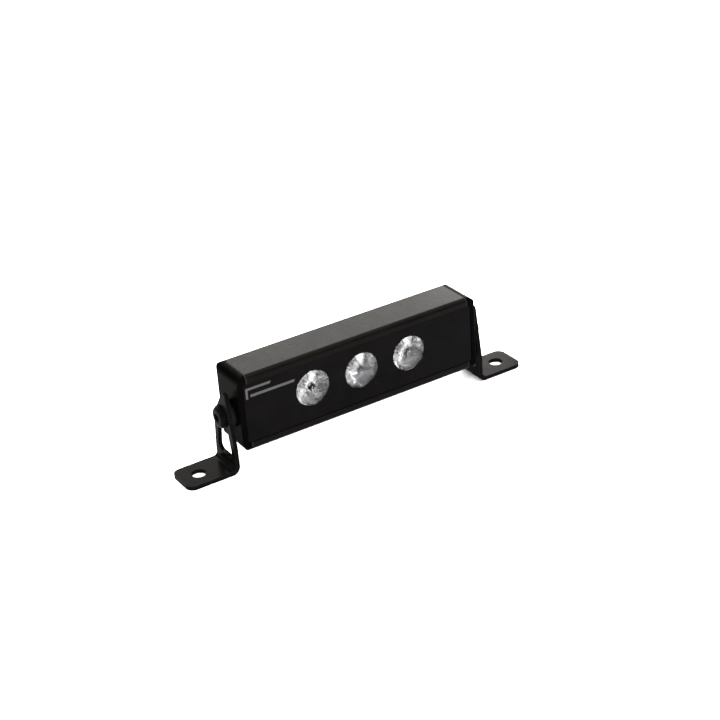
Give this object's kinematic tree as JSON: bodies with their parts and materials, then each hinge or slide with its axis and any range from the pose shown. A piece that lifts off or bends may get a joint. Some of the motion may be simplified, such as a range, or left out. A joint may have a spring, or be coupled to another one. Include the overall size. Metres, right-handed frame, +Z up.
{
  "type": "led light bar",
  "caption": "Slim black LED light bar with three round reflector lamps, tilting between two slotted L brackets whose feet bolt to a flat surface.",
  "frame": {"origin": "on the mounting plane under the feet, half way between the two foot holes", "axes": "+X along the bar, -Y is the side the light comes out of, +Z up from the mounting surface"},
  "size_m": [0.186, 0.0291, 0.0482],
  "materials": {
    "satin_black_paint": "satin black powder coat",
    "gloss_black_plastic": "smooth black, semi-gloss",
    "white_print": "flat white ink",
    "clear_plastic": "clear polished polycarbonate or acrylic",
    "black_rubber": "matte",
    "black_plastic": "fine-grained matte",
    "bright_reflector": "vacuum-metallised mirror",
    "led_package": "yellow phosphor under a clear dome on a white package",
    "white_board": "white solder mask",
    "grey_pad": "matte silicone",
    "zinc_screw": "bright zinc",
    "component_black": "moulded black",
    "capacitor_can": "bare can",
    "red_insulation": "satin",
    "black_insulation": "satin",
    "black_steel_coat": "satin black coat on steel sheet",
    "black_oxide_steel": "black oxide",
    "brass": "machined"
  },
  "bodies": {
    "left_bracket": {"left_bracket": "black_steel_coat"},
    "left_clamp": {"left_spacer": "black_plastic", "left_washer": "black_oxide_steel"},
    "lamp": {"housing": "satin_black_paint", "front_plate": "gloss_black_plastic", "front_mark": "white_print", "lens_window": "clear_plastic", "lens_seal": "black_rubber", "optic_holder": "black_plastic", "collimator_left": "clear_plastic", "collimator_centre": "clear_plastic", "collimator_right": "clear_plastic", "reflector_left": "bright_reflector", "reflector_centre": "bright_reflector", "reflector_right": "bright_reflector", "led_left": "led_package", "led_centre": "led_package", "led_right": "led_package", "circuit_board": "white_board", "thermal_pad": "grey_pad", "board_screws": "zinc_screw", "driver_chip": "component_black", "power_inductor": "component_black", "filter_capacitors": "capacitor_can", "lead_wire_red": "red_insulation", "lead_wire_black": "black_insulation", "left_end_cap": "satin_black_paint", "right_end_cap": "satin_black_paint", "left_cap_gasket": "black_rubber", "right_cap_gasket": "black_rubber", "cap_screws": "black_oxide_steel", "left_insert": "brass", "right_insert": "brass", "left_pivot_bolt": "black_oxide_steel", "right_pivot_bolt": "black_oxide_steel", "gland_body": "black_plastic", "gland_nut": "black_plastic", "gland_ring": "black_rubber", "gland_seal": "black_rubber", "gland_cap": "black_plastic"},
    "right_clamp": {"right_spacer": "black_plastic", "right_washer": "black_oxide_steel"},
    "right_bracket": {"right_bracket": "black_steel_coat"}
  },
  "joints": [
    {"name": "left_height", "type": "slide", "parent": "left_bracket", "child": "left_clamp", "axis": [0, 0, 1], "range_m": [-0.005, 0]},
    {"name": "tilt", "type": "hinge", "parent": "left_clamp", "child": "lamp", "pos_m": [0, 0, 0.0263], "axis": [1, 0, 0], "range_deg": [-90, 90]},
    {"name": "right_tilt", "type": "hinge", "parent": "lamp", "child": "right_clamp", "pos_m": [0, 0, 0.0263], "axis": [1, 0, 0], "range_deg": [-90, 90]},
    {"name": "right_height", "type": "slide", "parent": "right_clamp", "child": "right_bracket", "axis": [0, 0, 1], "range_m": [0, 0.005]}
  ],
  "couplings": [
    {"joint": "right_tilt", "follows": "tilt", "ratio": -1},
    {"joint": "right_height", "follows": "left_height", "ratio": -1}
  ]
}
